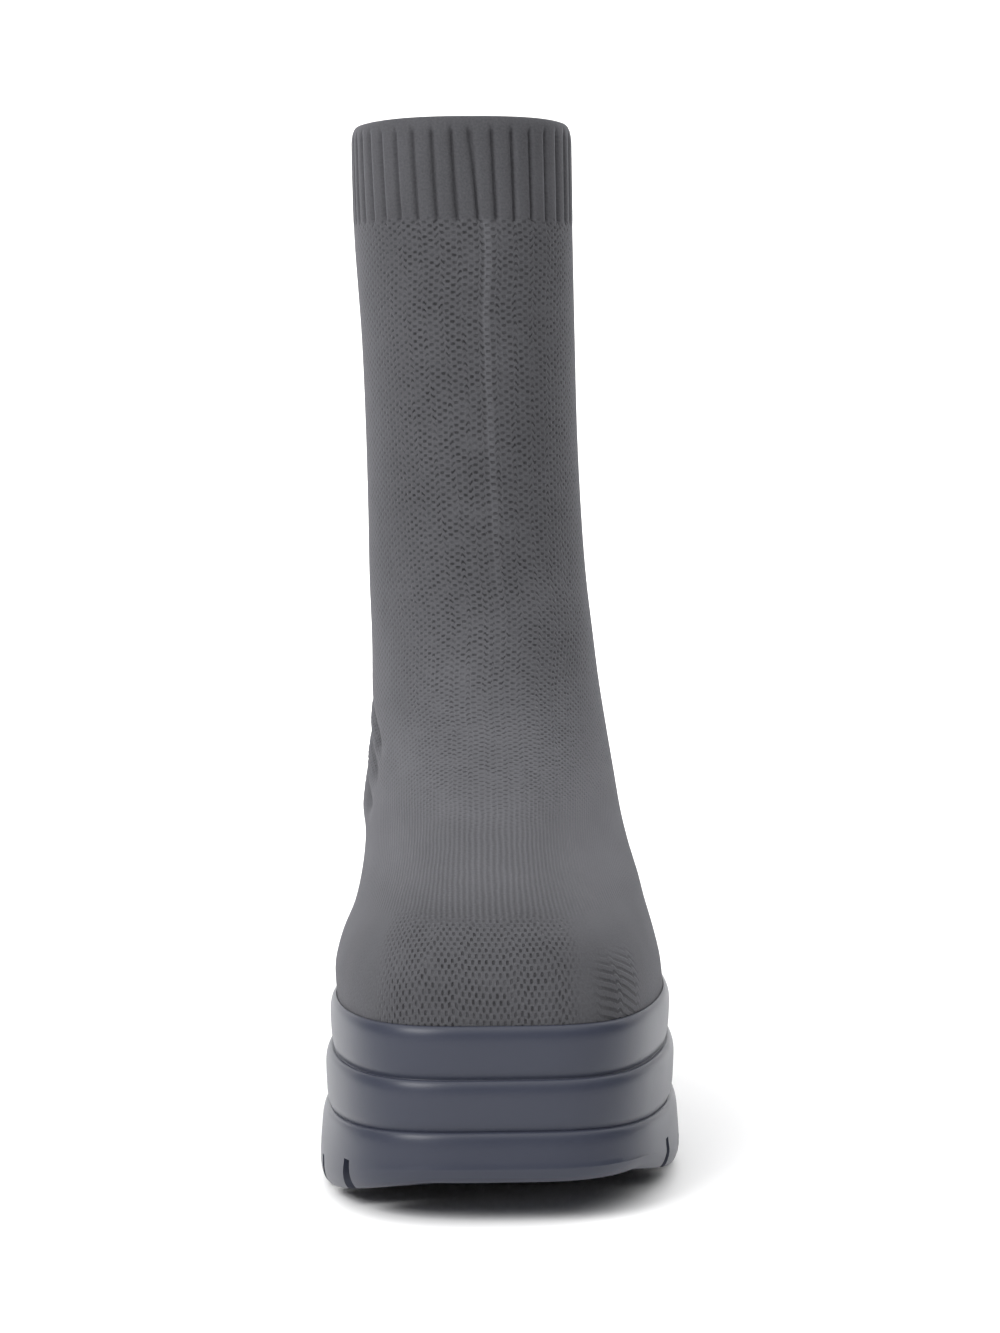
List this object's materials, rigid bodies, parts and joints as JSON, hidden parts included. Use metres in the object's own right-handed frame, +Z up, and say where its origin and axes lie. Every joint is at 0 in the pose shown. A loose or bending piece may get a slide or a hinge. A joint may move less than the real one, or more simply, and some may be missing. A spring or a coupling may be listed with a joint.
{
  "type": "sock boot",
  "caption": "Knitted sock boot for the left foot with a ribbed cuff, a tall close-fitting shaft and a chunky tiered platform sole with lugs.",
  "frame": {"origin": "on the floor under the middle of the footprint's box", "axes": "+Z up towards the collar, -Y towards the toe, +X towards the outer side of the foot, which is a left foot"},
  "size_m": [0.1074, 0.2698, 0.311],
  "materials": {
    "knit": "dark grey knitted yarn, matte, ribbed at the cuff",
    "midsole": "slate grey moulded foam, satin",
    "outsole": "slate grey moulded rubber, satin",
    "insole": "dark grey cloth over foam, matte"
  },
  "bodies": {
    "root": {"upper": "knit", "midsole": "midsole", "outsole": "outsole", "insole": "insole"}
  },
  "joints": []
}
